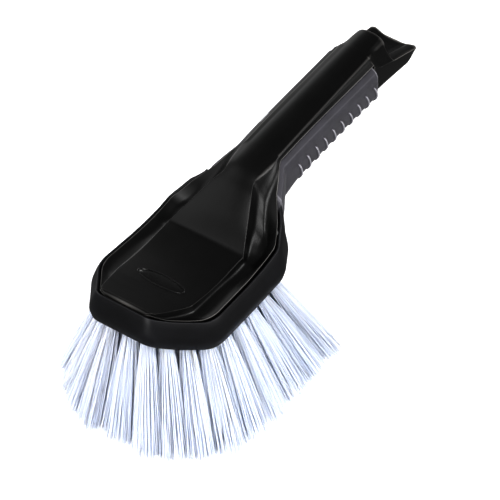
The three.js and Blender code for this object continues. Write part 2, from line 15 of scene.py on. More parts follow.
import bpy
import numpy as np
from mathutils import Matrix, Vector


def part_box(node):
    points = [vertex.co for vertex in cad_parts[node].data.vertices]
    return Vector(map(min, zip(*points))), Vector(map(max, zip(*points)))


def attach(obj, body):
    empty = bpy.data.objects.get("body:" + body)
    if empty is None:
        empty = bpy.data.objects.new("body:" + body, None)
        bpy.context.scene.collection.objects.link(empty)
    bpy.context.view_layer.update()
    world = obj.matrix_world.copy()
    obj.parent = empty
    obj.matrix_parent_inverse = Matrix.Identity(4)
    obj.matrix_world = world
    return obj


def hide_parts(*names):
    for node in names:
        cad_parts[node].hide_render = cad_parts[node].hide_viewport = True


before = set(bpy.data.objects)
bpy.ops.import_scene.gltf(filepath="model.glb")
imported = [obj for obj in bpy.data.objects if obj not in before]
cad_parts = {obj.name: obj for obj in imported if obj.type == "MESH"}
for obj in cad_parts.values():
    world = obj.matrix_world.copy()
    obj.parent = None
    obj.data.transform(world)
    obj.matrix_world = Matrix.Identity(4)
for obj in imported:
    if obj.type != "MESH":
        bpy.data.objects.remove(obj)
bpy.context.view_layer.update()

LOG = logging.getLogger("wheel_brush")
MM = 0.001
ROOT = "root"
# The pointiness at which an edge starts to take its pale colour, and at which it takes it fully:
# partly scuffing, partly a painted highlight along the edge.
SCUFF_AND_HIGHLIGHT_EDGE = (0.508, 0.55)

Point = tuple[float, float, float]
Pair = tuple[float, float]
Rail = Callable[[float], float]


# ---- Curves and numbers ------------------------------------------------------------------


def mix(a: float, b: float, t: float) -> float:
    """Returns the value a share `t` of the way from `a` to `b`."""
    return a + (b - a) * t


def ease(t: float) -> float:
    """Returns a share from 0 to 1 with a soft start and end."""
    t = min(max(t, 0.0), 1.0)
    return t * t * (3 - 2 * t)


def through(points: Sequence[Pair]) -> Rail:
    """Makes a smooth curve through points that never overshoots them.

    Args:
        points: Places and values, in rising order of place.

    Returns:
        A function from a place to the curve's value there.
    """
    slopes = [(q[1] - p[1]) / (q[0] - p[0]) for p, q in zip(points, points[1:])]
    tangents = []
    for i in range(len(points)):
        before, after = slopes[max(i - 1, 0)], slopes[min(i, len(slopes) - 1)]
        flat = before * after <= 0
        tangents.append(0.0 if flat else 2 * before * after / (before + after))

    def value(x: float) -> float:
        if x <= points[0][0]:
            return points[0][1]
        if x >= points[-1][0]:
            return points[-1][1]
        i = next(k for k, p in enumerate(points) if p[0] > x) - 1
        span = points[i + 1][0] - points[i][0]
        t = (x - points[i][0]) / span
        ends = points[i][1] * (1 + 2 * t) * (1 - t) ** 2 + points[i + 1][1] * (3 - 2 * t) * t**2
        pull = tangents[i] * t * (1 - t) ** 2 + tangents[i + 1] * t**2 * (t - 1)
        return ends + span * pull

    return value


def rounded(corners: Sequence[tuple[float, float, float]], steps: int) -> list[Pair]:
    """Rounds the corners of an open outline.

    Args:
        corners: Each corner's two coordinates, and how far along both sides its round reaches.
        steps: How many edges each round corner gets.

    Returns:
        The rounded outline, which has the same number of points for any sizes.
    """
    points = [corners[0][:2]]
    for i in range(1, len(corners) - 1):
        here = np.array(corners[i][:2])
        sides = [np.array(corners[k][:2]) - here for k in (i - 1, i + 1)]
        lengths = [max(float(np.linalg.norm(side)), 1e-6) for side in sides]
        reach = min(corners[i][2], *(0.48 * length for length in lengths))
        start, end = (here + side / length * reach for side, length in zip(sides, lengths))
        for k in range(steps + 1):
            t = k / steps
            p = start * (1 - t) ** 2 + here * 2 * t * (1 - t) + end * t**2
            points.append((float(p[0]), float(p[1])))
    points.append(corners[-1][:2])
    return points


# ---- The form that the sub-assemblies share -----------------------------------------------


@dataclass(frozen=True)
class Placing:
    """Puts drawing coordinates in millimetres into the row frame in metres.

    Attributes:
        x: The row frame's x of the head's nose, in metres.
        z: The row frame's z of the bumper's lowest line, in metres.
    """

    x: float
    z: float

    @classmethod
    def from_frame(cls, skirt: float) -> "Placing":
        """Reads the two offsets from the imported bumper, whose skirt hangs under its line."""
        low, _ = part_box("head_bumper")
        return cls(x=low.x, z=low.z + skirt * MM)

    def point(self, x: float, y: float, z: float) -> Point:
        """Returns a drawing point in the row frame."""
        return (self.x + x * MM, y * MM, self.z + z * MM)


@dataclass(frozen=True)
class HeadOutline:
    """The head seen from above: a flat nose, slanted cheeks, long sides and a drawn-in heel.

    Attributes:
        corners: Half of the outline as (x, half width), from the nose's middle to the end.
        radii: Each inner corner's radius.
        corner_steps: Edges in each round corner.
        side_steps: Edges in each straight stretch.
    """

    corners: tuple[Pair, ...] = (
        (0.0, 0.0),
        (0.0, 21.5),
        (35.6, 46.8),
        (104.6, 44.2),
        (117.5, 36.8),
        (128.0, 28.5),
    )
    radii: tuple[float, ...] = (12.0, 26.0, 14.0, 14.0)
    corner_steps: int = 14
    side_steps: int = 9

    def points(self, inset: float) -> list[Pair]:
        """Draws the half outline moved inward.

        Args:
            inset: How far inside the outline, in millimetres.

        Returns:
            Points from the nose's middle to the head's end, as many for every inset.
        """
        corners = [np.array(p) for p in self.corners]
        alongs = [(b - a) / np.linalg.norm(b - a) for a, b in zip(corners, corners[1:])]
        starts = [c + np.array([u[1], -u[0]]) * inset for c, u in zip(corners, alongs)]

        def meet(i: int) -> np.ndarray:
            gap = starts[i + 1] - starts[i]
            turn = alongs[i][0] * alongs[i + 1][1] - alongs[i][1] * alongs[i + 1][0]
            t = (gap[0] * alongs[i + 1][1] - gap[1] * alongs[i + 1][0]) / turn
            return starts[i] + alongs[i] * t

        drawn: list[np.ndarray] = [starts[0]]
        for i, radius in enumerate(self.radii):
            corner = meet(i)
            half = math.acos(float(np.clip(alongs[i] @ alongs[i + 1], -1, 1))) / 2
            reach = (radius - inset * 0.5) * math.tan(half)
            first, last = corner - alongs[i] * reach, corner + alongs[i + 1] * reach
            before = drawn[-1]
            drawn += [mix(before, first, k / self.side_steps) for k in range(1, self.side_steps)]
            for k in range(self.corner_steps + 1):
                t = k / self.corner_steps
                drawn.append(mix(mix(first, corner, t), mix(corner, last, t), t))
        end = starts[-1] + alongs[-1] * (self.corners[-1][0] - starts[-1][0]) / alongs[-1][0]
        before = drawn[-1]
        drawn += [mix(before, end, k / self.side_steps) for k in range(1, self.side_steps + 1)]
        return [(float(p[0]), float(p[1])) for p in drawn]

    def half_width(self, inset: float) -> Rail:
        """Returns the half width along x of the outline moved inward."""
        xs, ys = zip(*self.points(inset))
        return lambda x: float(np.interp(x, xs[1:], ys[1:]))


@dataclass(frozen=True)
class BrushForm:
    """Sizes and rails that the body, bumper and grips share, in millimetres.

    Attributes:
        sole_lift: How far the bumper's lower edge lifts at the nose, side end, heel and end.
        nose_curl: The share of the nose's lift that is left half way to the widest place.
        side_lift: How far the lower edge lifts half way along the long sides.
        bumper_rise: How much taller the bumper gets at the side end, the heel and its own end.
        edge_halves: Half widths over the upper edges where the handle starts and the grips stop.
        edge_tops: Heights of the upper edges there.
        undercut: How far before its end the underside starts to rise.
        nose_length: From the nose to the widest place.
        side_end: Where the long sides end.
        heel: Where the heel's slanted edge ends.
        head_length: From the nose to the head's end.
        bumper_end: Where the bumper strip stops.
        grip_start: Where the grips start.
        side_start: Where the handle's parallel stretch starts.
        grip_end: Where the grips stop.
        tongue_end: The round end of the raised strip along the handle's top.
        length: The whole brush's drawn length.
    """

    outline: HeadOutline = field(default_factory=HeadOutline)
    sole_lift: tuple[float, float, float, float] = (13.4, 2.0, 5.5, 17.5)
    nose_curl: float = 0.36
    side_lift: float = 0.3
    bumper_rise: tuple[float, float, float] = (4.8, 10.2, 9.3)
    edge_halves: Pair = (14.2, 14.6)
    edge_tops: Pair = (51.4, 59.1)
    undercut: float = 8.0
    nose_length: float = 35.6
    side_end: float = 104.6
    heel: float = 117.5
    head_length: float = 128.0
    bumper_end: float = 123.0
    bumper_height: float = 17.6
    bumper_skirt: float = 2.5
    body_inset: float = 6.9
    rim_proud: float = 0.5
    block_end: float = 108.0
    block_recess: float = 1.2
    block_thickness: float = 9.0
    ramp_start: float = 85.4
    neck: float = 118.0
    grip_start: float = 124.3
    side_start: float = 141.0
    grip_end: float = 233.0
    tongue_end: float = 252.5
    length: float = 274.0
    clearance: float = 0.4

    def sole(self) -> Rail:
        """Returns the height of the bumper's lower line along x."""
        nose, side, heel, end = self.sole_lift
        return through(
            [
                (0.0, nose),
                (self.nose_length / 2, nose * self.nose_curl),
                (self.nose_length, 0.0),
                ((self.nose_length + self.side_end) / 2, self.side_lift),
                (self.side_end, side),
                (self.heel, heel),
                (self.head_length, end),
            ]
        )

    def rise(self) -> Rail:
        """Returns how much taller than at the nose the bumper is along x."""
        side, heel, end = self.bumper_rise
        return through(
            [
                (self.ramp_start - 14, 0.0),
                (self.ramp_start + 4, side * 0.3),
                (self.side_end, side),
                (mix(self.side_end, self.heel, 0.55), mix(side, heel, 0.6)),
                (self.heel, heel),
                (self.bumper_end, end),
            ]
        )

    def rim_top(self, x: float) -> float:
        """Returns the height of the body's rim beside the bumper at x."""
        return self.sole()(x) + self.bumper_height + self.rise()(x) + self.rim_proud

    def edge_half(self) -> Rail:
        """Returns the half width of the body's outer upper edge along x."""
        head = self.outline.half_width(self.body_inset)
        rim = head(self.bumper_end)
        start, end = self.edge_halves
        tail = through(
            [
                (self.bumper_end, rim),
                (mix(self.bumper_end, self.side_start, 0.5), mix(rim, start, 0.5)),
                (self.side_start, start),
                (self.grip_end, end),
            ]
        )
        return lambda x: head(x) if x <= self.bumper_end else tail(x)

    def edge_top(self) -> Rail:
        """Returns the height of the body's outer upper edge along x."""
        nose, rim = self.sole_lift[0], self.rim_top
        half = self.nose_length / 2
        middle = (self.nose_length + self.side_end) / 2
        joining = mix(self.bumper_end, self.side_start, 0.5)
        start, end = self.edge_tops
        return through(
            [
                (self.body_inset, nose + self.bumper_height),
                (half, rim(half) + self.rim_proud),
                (self.nose_length, rim(self.nose_length)),
                (middle, rim(middle)),
                (self.ramp_start + 8, rim(self.ramp_start + 8)),
                (self.side_end, rim(self.side_end)),
                (self.heel, rim(self.heel) + self.rim_proud),
                (self.bumper_end, rim(self.bumper_end) + self.rim_proud),
                (joining, mix(rim(self.bumper_end), start, 0.54)),
                (self.side_start, start),
                (self.grip_end, end),
            ]
        )

    def bottom(self) -> Rail:
        """Returns the height of the underside along x, behind the bristle block."""
        sole = self.sole()
        return through(
            [
                (self.block_end + 1, sole(self.block_end) + self.block_recess + 0.6),
                (self.heel, sole(self.heel) + 1),
                (self.bumper_end, sole(self.bumper_end) - 0.5),
                (self.grip_start + 6, mix(sole(self.bumper_end), 22.0, 0.35)),
                (self.side_start, 22.0),
                (self.side_start + 16, 27.0),
                (self.grip_end, 34.0),
                (self.length - self.undercut, 35.0),
            ]
        )


# ---- Making meshes -----------------------------------------------------------------------


def make_piece(
    name: str,
    points: Sequence[Point],
    faces: Sequence[Sequence[int]],
    material: bpy.types.Material,
    crease_deg: float = 38.0,
) -> bpy.types.Object:
    """Makes one smooth-shaded mesh object with its faces turned out.

    Args:
        name: The piece's name.
        points: Its vertices in the row frame, in metres.
        faces: Its faces as vertex indices.
        material: The finish that it wears.
        crease_deg: Edges sharper than this angle stay crisp.

    Returns:
        The new object, linked to the scene.
    """
    mesh = bpy.data.meshes.new(name)
    mesh.from_pydata(points, [], faces)
    mesh.update()
    mesh.validate()
    turn_out(mesh)
    mesh.shade_smooth()
    mesh.set_sharp_from_angle(angle=math.radians(crease_deg))
    mesh.materials.append(material)
    piece = bpy.data.objects.new(name, mesh)
    bpy.context.scene.collection.objects.link(piece)
    return piece


def turn_out(mesh: bpy.types.Mesh) -> None:
    """Turns a closed mesh's faces outward, by the sign of its volume."""
    mesh.calc_loop_triangles()
    volume = 0.0
    for triangle in mesh.loop_triangles:
        a, b, c = (mesh.vertices[i].co for i in triangle.vertices)
        volume += a.dot(b.cross(c))
    if volume < 0:
        mesh.flip_normals()


def stand_for(
    piece: bpy.types.Object, nodes: Sequence[str], what: str
) -> bpy.types.Object:
    """Lets a piece ride on the brush and stand for its CAD nodes, and reports it."""
    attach(piece, ROOT)
    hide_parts(*nodes)
    LOG.info("%s: %s, %d faces", piece.name, what, len(piece.data.polygons))
    return piece


def skin(rings: Sequence[Sequence[Point]]) -> tuple[list[Point], list[tuple[int, ...]]]:
    """Joins closed rings into one skin with flat ends.

    Args:
        rings: Rings with the same number of points, each running the same way round.

    Returns:
        The vertices and the faces.
    """
    count = len(rings[0])
    points = [p for ring in rings for p in ring]
    faces: list[tuple[int, ...]] = []
    for r in range(len(rings) - 1):
        for i in range(count):
            a, b = r * count + i, r * count + (i + 1) % count
            faces.append((a, b, b + count, a + count))
    faces.append(tuple(range(count))[::-1])
    faces.append(tuple(range(len(points) - count, len(points))))
    return points, faces


def mirrored(half: Sequence[Pair]) -> list[Pair]:
    """Returns a whole ring of (y, z) from its right half, whose ends lie on the middle."""
    return [(-y, z) for y, z in half] + [(y, z) for y, z in reversed(half[1:-1])]


# ---- Finishes ----------------------------------------------------------------------------


def linear(hex_colour: str) -> tuple[float, float, float, float]:
    """Turns an sRGB hex colour to linear light with full alpha."""
    channels = [int(hex_colour[i : i + 2], 16) / 255 for i in (1, 3, 5)]
    low = 0.04045
    turned = [c / 12.92 if c <= low else ((c + 0.055) / 1.055) ** 2.4 for c in channels]
    return (*turned, 1.0)


def add(
    tree: bpy.types.NodeTree,
    kind: str,
    settings: dict[str, object] | None = None,
    links: dict[str, bpy.types.NodeSocket] | None = None,
) -> bpy.types.Node:
    """Adds a shader node.

    Args:
        tree: The material's node tree.
        kind: The node's Blender type.
        settings: Values for the node's own options and, by name, for its inputs.
        links: Outputs of other nodes, by the name of the input that they feed.

    Returns:
        The new node.
    """
    node = tree.nodes.new(kind)
    for key, value in (settings or {}).items():
        if hasattr(node, key):
            setattr(node, key, value)
        else:
            node.inputs[key].default_value = value
    for key, output in (links or {}).items():
        tree.links.new(output, node.inputs[key])
    return node


def start_material(
    name: str,
) -> tuple[bpy.types.Material, bpy.types.NodeTree, bpy.types.Node]:
    """Makes a material with nodes, and returns it with its tree and its shader."""
    made = bpy.data.materials.new(name)
    made.use_nodes = True
    return made, made.node_tree, made.node_tree.nodes["Principled BSDF"]


def noise(
    tree: bpy.types.NodeTree, size_mm: float, detail: float = 2.0, roughness: float = 0.5
) -> bpy.types.NodeSocket:
    """Adds noise with features of a real size, in object coordinates.

    Args:
        tree: The material's node tree.
        size_mm: The size of the features.
        detail: How many finer layers it has.
        roughness: How strong the finer layers are.

    Returns:
        The noise's value.
    """
    place = add(tree, "ShaderNodeTexCoord").outputs["Object"]
    settings = {"Scale": 1 / (size_mm * MM), "Detail": detail, "Roughness": roughness}
    return add(tree, "ShaderNodeTexNoise", settings, {"Vector": place}).outputs["Fac"]


def toned(
    tree: bpy.types.NodeTree, amount: bpy.types.NodeSocket, stops: Sequence[tuple[float, str]]
) -> bpy.types.NodeSocket:
    """Turns an amount into a colour between two hex colours, each with its place."""
    ramp = add(tree, "ShaderNodeValToRGB", None, {"Fac": amount})
    for element, (position, colour) in zip(ramp.color_ramp.elements, stops):
        element.position = position
        element.color = linear(colour)
    return ramp.outputs["Color"]


@dataclass(frozen=True)
class Moulding:
    """A moulded polymer surface: two close tones, a fine grain, and sharp edges made paler,
    partly from scuffing and partly by a painted highlight.

    Attributes:
        name: The material's name, from the polymer and how it was made.
        tone: The main colour.
        cloud: The colour of its faint clouds.
        scuff_highlight_colour: The colour of sharp edges, partly scuffing and partly a painted
            highlight.
        scuff_highlight_share: How much of that colour the sharpest edges show.
        cloud_mm: The size of the clouds.
        grain_mm: The size of the surface's grain.
        grain_depth_mm: How deep the grain is.
        roughness: The smoothest and roughest the surface gets.
        ior: The polymer's index of refraction.
        specular: The share of the full dielectric reflection, 0.5 being all of it.
        sheen: The soft glow that a rubber-like skin has at a low angle.
    """

    name: str
    tone: str
    cloud: str
    scuff_highlight_colour: str
    scuff_highlight_share: float
    cloud_mm: float
    grain_mm: float
    grain_depth_mm: float
    roughness: Pair
    ior: float
    specular: float = 0.5
    sheen: float = 0.0

    def material(self) -> bpy.types.Material:
        """Builds the material's nodes and returns it."""
        made, tree, shader = start_material(self.name)
        clouds = noise(tree, self.cloud_mm, detail=4.0, roughness=0.6)
        grain = noise(tree, self.grain_mm)
        tones = toned(tree, clouds, [(0.35, self.tone), (0.7, self.cloud)])
        # Sharp edges are tinted paler: partly scuffing, partly a painted highlight along them.
        edges = add(
            tree,
            "ShaderNodeMapRange",
            {"From Min": SCUFF_AND_HIGHLIGHT_EDGE[0], "From Max": SCUFF_AND_HIGHLIGHT_EDGE[1], "To Min": 0.0, "To Max": self.scuff_highlight_share},
            {"Value": add(tree, "ShaderNodeNewGeometry").outputs["Pointiness"]},
        )
        scuffed_lit_tones = add(
            tree,
            "ShaderNodeMix",
            {"data_type": "RGBA", "blend_type": "MIX"},
            {"Factor": edges.outputs["Result"]},
        )
        tree.links.new(tones, scuffed_lit_tones.inputs["A"])
        scuffed_lit_tones.inputs["B"].default_value = linear(self.scuff_highlight_colour)
        gloss = add(
            tree,
            "ShaderNodeMapRange",
            {"To Min": self.roughness[0], "To Max": self.roughness[1]},
            {"Value": clouds},
        )
        bump = add(
            tree,
            "ShaderNodeBump",
            {"Strength": 1.0, "Distance": self.grain_depth_mm * MM},
            {"Height": grain},
        )
        tree.links.new(scuffed_lit_tones.outputs["Result"], shader.inputs["Base Color"])
        tree.links.new(gloss.outputs["Result"], shader.inputs["Roughness"])
        tree.links.new(bump.outputs["Normal"], shader.inputs["Normal"])
        shader.inputs["IOR"].default_value = self.ior
        shader.inputs["Specular IOR Level"].default_value = self.specular
        shader.inputs["Sheen Weight"].default_value = self.sheen
        return made


@dataclass(frozen=True)
class BristleFilament:
    """Extruded polyester filament: bright white and faintly blue.

    Attributes:
        name: The material's name.
        pale: The palest filament's colour.
        cool: The coolest filament's colour.
        roughness: How soft the filament's shine is.
        ior: Polyester's index of refraction.
        scatter: The share of light that goes inside and comes out elsewhere.
        scatter_mm: How far it travels.
    """

    name: str = "PBT_filament_extruded"
    pale: str = "#E2E9F6"
    cool: str = "#C9D4EE"
    roughness: float = 0.42
    ior: float = 1.55
    scatter: float = 1.0
    scatter_mm: float = 2.0

    def material(self) -> bpy.types.Material:
        """Builds the material's nodes and returns it."""
        made, tree, shader = start_material(self.name)
        each = add(tree, "ShaderNodeNewGeometry").outputs["Random Per Island"]
        tones = toned(tree, each, [(0.0, self.pale), (1.0, self.cool)])
        tree.links.new(tones, shader.inputs["Base Color"])
        shader.inputs["Roughness"].default_value = self.roughness
        shader.inputs["IOR"].default_value = self.ior
        shader.inputs["Subsurface Weight"].default_value = self.scatter
        shader.inputs["Subsurface Radius"].default_value = (0.9, 0.95, 1.0)
        shader.inputs["Subsurface Scale"].default_value = self.scatter_mm * MM
        return made


class Finish(Enum):
    """The brush's finishes, each from what the real material is; the pale colour on their sharp
    edges is partly scuffing and partly a painted highlight.
    """

    # Injection-moulded polypropylene with carbon black: near black, with a satin skin.
    BODY = Moulding(
        name="PP_black_moulded",
        tone="#050505",
        cloud="#080808",
        # Pale edge colour: partly scuffing, partly a painted highlight along the panel and rim
        # edges.
        scuff_highlight_colour="#7A7876",
        scuff_highlight_share=0.8,
        cloud_mm=26.0,
        grain_mm=0.7,
        grain_depth_mm=0.012,
        roughness=(0.27, 0.42),
        ior=1.49,
        specular=0.27,
    )
    # Thermoplastic elastomer moulded round the head: softer shine, slightly paler black.
    BUMPER = Moulding(
        name="TPE_black_overmoulded",
        tone="#0C0C0E",
        cloud="#111114",
        scuff_highlight_colour="#3C3C42",
        scuff_highlight_share=0.3,
        cloud_mm=30.0,
        grain_mm=0.6,
        grain_depth_mm=0.02,
        roughness=(0.42, 0.54),
        ior=1.5,
        specular=0.3,
    )
    # Grey thermoplastic rubber moulded over the handle's sides: matt, with a dusty bloom.
    GRIP = Moulding(
        name="TPR_grey_overmoulded",
        tone="#2E2D32",
        cloud="#35343A",
        # Pale edge colour: partly scuffing, partly a painted highlight along the ridge and rib
        # edges.
        scuff_highlight_colour="#8A898E",
        scuff_highlight_share=0.9,
        cloud_mm=9.0,
        grain_mm=0.5,
        grain_depth_mm=0.03,
        roughness=(0.5, 0.66),
        ior=1.5,
        specular=0.4,
        sheen=0.08,
    )
    # The block that holds the tufts: talc-filled polypropylene, drilled after moulding.
    BLOCK = Moulding(
        name="PP_black_talc_filled",
        tone="#0D0D0E",
        cloud="#151516",
        scuff_highlight_colour="#333333",
        scuff_highlight_share=0.3,
        cloud_mm=14.0,
        grain_mm=0.9,
        grain_depth_mm=0.03,
        roughness=(0.45, 0.6),
        ior=1.49,
    )
    # The badge's blank oval: the same polypropylene with a polished face.
    BADGE = Moulding(
        name="PP_black_polished",
        tone="#050505",
        cloud="#070707",
        scuff_highlight_colour="#2C2C2C",
        scuff_highlight_share=0.3,
        cloud_mm=12.0,
        grain_mm=0.8,
        grain_depth_mm=0.004,
        roughness=(0.16, 0.26),
        ior=1.49,
    )


# ---- Handle body -------------------------------------------------------------------------


@dataclass
class HandleBody:
    """The black moulding that is the head's top, the ramp, the neck and the handle.

    Attributes:
        form: The shared sizes.
        placing: Where the drawing frame lies.
        panel_nose: The raised panel's front edge.
        panel_nose_half: The panel's half width there.
        panel_half: Its half width along the head.
        panel_tops: Its heights at the nose, the shoulder, the waist and the ramp's foot.
        neck_top: Its height at the neck.
        neck_half: Its half width at the neck.
        handle_mid: Place and height of the handle's middle.
        tongue_top: Height of the tongue's end.
        tongue_half: Half width of the tongue there.
        edge_round: Reach of the round along the panel's edge.
        rim_round: Reach of the round along the rim.
        tail_half: Half width of the flared end.
        tail_top: Height of the flared end's corners.
        tail_hollow: How deep the end dips between its corners.
        tail_bow: How far its sides run on behind its middle.
        tail_corner: How far its two corners are rounded off.
        seat_depth: How far the side stands in under the edge where a grip lies on it.
        step: Distance between sections.
        least_step: The least distance between two sections.
    """

    form: BrushForm
    placing: Placing
    panel_nose: float = 9.2
    panel_nose_half: float = 18.7
    panel_half: float = 26.5
    panel_tops: tuple[float, float, float, float] = (31.2, 22.3, 20.6, 23.0)
    neck_top: float = 49.6
    neck_half: float = 9.6
    handle_mid: Pair = (185.2, 59.3)
    tongue_top: float = 66.2
    tongue_half: float = 7.0
    edge_round: float = 0.9
    rim_round: float = 1.5
    tail_half: float = 16.7
    tail_top: float = 45.8
    tail_hollow: float = 1.0
    tail_bow: float = 3.0
    tail_corner: float = 2.6
    seat_depth: float = 1.8
    step: float = 1.6
    least_step: float = 0.25

    def __post_init__(self) -> None:
        """Works the body's rails out from its sizes."""
        form = self.form
        nose, shoulder, waist, foot = self.panel_tops
        self.edge_half = form.edge_half()
        self.edge_top = form.edge_top()
        self.bottom = form.bottom()
        self.sole = form.sole()
        mid, mid_top = self.handle_mid
        self.handle_top = through(
            [
                (form.neck, self.neck_top),
                (mix(form.neck, mid, 0.35), mix(self.neck_top, mid_top, 0.46)),
                (mid, mid_top),
                (form.tongue_end, self.tongue_top),
            ]
        )
        self.deck_top = through(
            [
                (self.panel_nose, nose),
                (mix(self.panel_nose, form.nose_length, 0.5), mix(nose, shoulder, 0.56)),
                (form.nose_length, shoulder),
                (mix(form.nose_length, form.ramp_start, 0.45), waist),
                (form.ramp_start, foot),
            ]
        )
        ramp_mid = mix(form.ramp_start, form.neck, 0.5)
        ramp_high = mix(form.ramp_start, form.neck, 0.86)
        self.ramp_top = through(
            [
                (form.ramp_start, foot),
                (ramp_mid, mix(foot, self.neck_top, 0.5)),
                (ramp_high, mix(foot, self.neck_top, 0.86) - 0.4),
                (form.neck + 6, self.handle_top(form.neck + 6)),
                (form.neck + 22, self.handle_top(form.neck + 22)),
            ]
        )
        self.crown = through(
            [
                (self.panel_nose, 0.3),
                (form.nose_length, 0.6),
                (form.ramp_start, 0.7),
                (mix(form.ramp_start, form.neck, 0.4), 3.0),
                (form.neck, 1.6),
                (form.tongue_end, 1.2),
            ]
        )
        shoulder_mid = mix(form.neck, form.side_start, 0.5)
        ramp_low = mix(form.ramp_start, form.neck, 0.45)
        ramp_up = mix(form.ramp_start, form.neck, 0.7)
        flank = [
            (self.panel_nose, 0.3, 0.9, 0.7, 1.0),
            (form.nose_length, 0.13, 1.12, 0.7, 1.2),
            (form.ramp_start, 0.14, 1.45, 0.6, 1.7),
            (ramp_low, 0.2, 0.8, 0.58, 1.3),
            (ramp_up, 0.22, 0.7, 0.57, 1.3),
            (form.neck, 0.26, 0.55, 0.55, 1.05),
            (shoulder_mid, 0.42, 0.5, 0.66, 0.9),
            (form.side_start, 0.62, 0.5, 0.84, 0.75),
            (form.grip_end, 0.6, 0.5, 0.84, 0.8),
        ]
        self.foot_across, self.foot_down, self.hollow_across, self.hollow_down = (
            through([(row[0], row[k]) for row in flank]) for k in (1, 2, 3, 4)
        )
        self.facet = through(
            [
                (form.neck, 0.03),
                (shoulder_mid, 0.26),
                (form.side_start, 0.5),
                (form.grip_end, 0.45),
            ]
        )

    def panel_half_at(self, x: float) -> float:
        """Returns the half width of the panel, ramp and tongue at x."""
        form = self.form
        if x <= form.nose_length:
            t = (x - self.panel_nose) / (form.nose_length - self.panel_nose)
            return mix(self.panel_nose_half, self.panel_half, max(t, 0.0) ** 0.8)
        if x <= form.ramp_start:
            return self.panel_half
        if x <= form.neck:
            t = (x - form.ramp_start) / (form.neck - form.ramp_start)
            return mix(self.panel_half, self.neck_half, t)
        t = (x - form.neck) / (form.tongue_end - form.neck)
        return mix(self.neck_half, self.tongue_half, t)

    def top_at(self, x: float) -> float:
        """Returns the height of the panel's edge at x."""
        if x <= self.form.ramp_start:
            return self.deck_top(x)
        return self.ramp_top(x) if x <= self.form.neck + 22 else self.handle_top(x)

    def underside_at(self, x: float) -> float:
        """Returns the underside's height at x: over the block, then under the neck."""
        form = self.form
        if x <= form.block_end + form.clearance:
            return self.sole(x) + form.block_recess + form.block_thickness + form.clearance
        return self.bottom(x)

    def crowned(self, half: float, top: float, crown: float) -> list[tuple[float, float, float]]:
        """Returns the arched top from the middle out to just inside its edge."""
        shares = (0.0, 0.2, 0.4, 0.58, 0.75, 0.9)
        return [(half * s, top + crown * (1 - s**2.2), half * 0.06) for s in shares]

    def section(self, x: float) -> list[Pair]:
        """Returns the right half of the section at x, as (half width, height) points."""
        form = self.form
        edge_half = self.edge_half(x)
        panel_half = min(self.panel_half_at(x), edge_half - 1)
        top = self.top_at(x)
        edge_top = min(self.edge_top(x), top - 0.3)
        seated = form.grip_start - form.clearance < x < form.grip_end + form.clearance
        seat = self.seat_depth if seated else 0.0
        bottom = self.underside_at(x)
        run, drop = edge_half - panel_half, top - edge_top
        facet = self.facet(x)
        fall = (drop if x > form.side_start else run) * facet * 0.3 + 0.1
        foot = (panel_half + run * self.foot_across(x), top - drop * self.foot_down(x))
        hollow = (panel_half + run * self.hollow_across(x), top - drop * self.hollow_down(x))
        corner = 4.0 if x > form.bumper_end else 0.6
        front = max(self.rim_round - (x - form.body_inset), 0.0)
        sink = self.rim_round - math.sqrt(max(self.rim_round**2 - front**2, 0.0))
        corners = [
            *self.crowned(panel_half, top, self.crown(x)),
            (panel_half, top, self.edge_round),
            (panel_half + run * facet, top - fall, 1.5),
            (*foot, 2.2),
            (*hollow, 3.5),
            (edge_half, edge_top, self.rim_round),
            (edge_half - seat, edge_top - 0.6 - self.rim_round * 0.2, 0.2),
            (edge_half - seat, bottom + corner, corner * 0.6),
            (edge_half - seat - corner, bottom, corner * 0.6),
            (0.0, bottom, 0.0),
        ]
        sunk = [(y, max(z - sink, bottom + 1) if z > bottom + 1 else z, r) for y, z, r in corners]
        return rounded(sunk, 4)

    def tail_sections(self) -> list[tuple[float, float, list[Pair]]]:
        """Returns the end's sections: each one's x, its flare and its half section."""
        form = self.form
        start_x = form.grip_end + form.clearance + 0.3
        end_half, end_top = self.edge_half(start_x), self.edge_top(start_x)
        span = form.length - start_x
        reach = form.length - form.tongue_end
        slope_top, slope_foot = form.tongue_end - 3.0, form.tongue_end - 0.8
        scoop = form.tongue_end + reach * 0.4
        narrow_at = through(
            [
                (start_x, 1.0),
                (mix(start_x, form.tongue_end, 0.5), 1.0),
                (slope_top, 0.95),
                (slope_foot, 0.8),
                (form.tongue_end, 0.7),
                (scoop, 0.6),
                (form.length, 0.85),
            ]
        )
        fall_at = through(
            [
                (start_x, 0.0),
                (slope_top, 0.02),
                (slope_foot, 0.08),
                (form.tongue_end, 0.7),
                (scoop, 0.94),
                (form.tongue_end + reach * 0.75, 1.0),
            ]
        )
        places = list(np.arange(start_x + 0.6, slope_top, self.step))
        places += list(np.linspace(slope_top, form.tongue_end + 2.0, 14))
        places += list(np.arange(form.tongue_end + 3.0, form.length, self.step))
        made = []
        for x in [*places, form.length]:
            flare = (x - start_x) / span
            shoulder_half = mix(end_half, self.tail_half, flare**1.4)
            shoulder_top = mix(end_top, self.tail_top, math.sqrt(flare))
            floor_top = self.tail_top - self.tail_hollow
            rise = max((x - form.length) / form.undercut + 1, 0.0)
            floor = mix(self.bottom(x), floor_top - 3, rise**1.5)
            narrow, fall = narrow_at(x), fall_at(x)
            ease_in = ease((x - start_x) / 6.0)
            half = self.panel_half_at(min(x, form.tongue_end)) * narrow
            top = mix(self.top_at(min(x, form.tongue_end)), floor_top, fall)
            crown = self.crown(form.tongue_end) * (1 - fall)
            side = [
                (mix(half, shoulder_half, 0.3), mix(top, shoulder_top, 0.15)),
                (mix(half, shoulder_half, 0.5 * narrow), mix(top, shoulder_top, 0.5)),
                (mix(half, shoulder_half, 0.6 * narrow + 0.2), mix(top, shoulder_top, 0.82)),
            ]
            run, drop = shoulder_half - half, top - shoulder_top
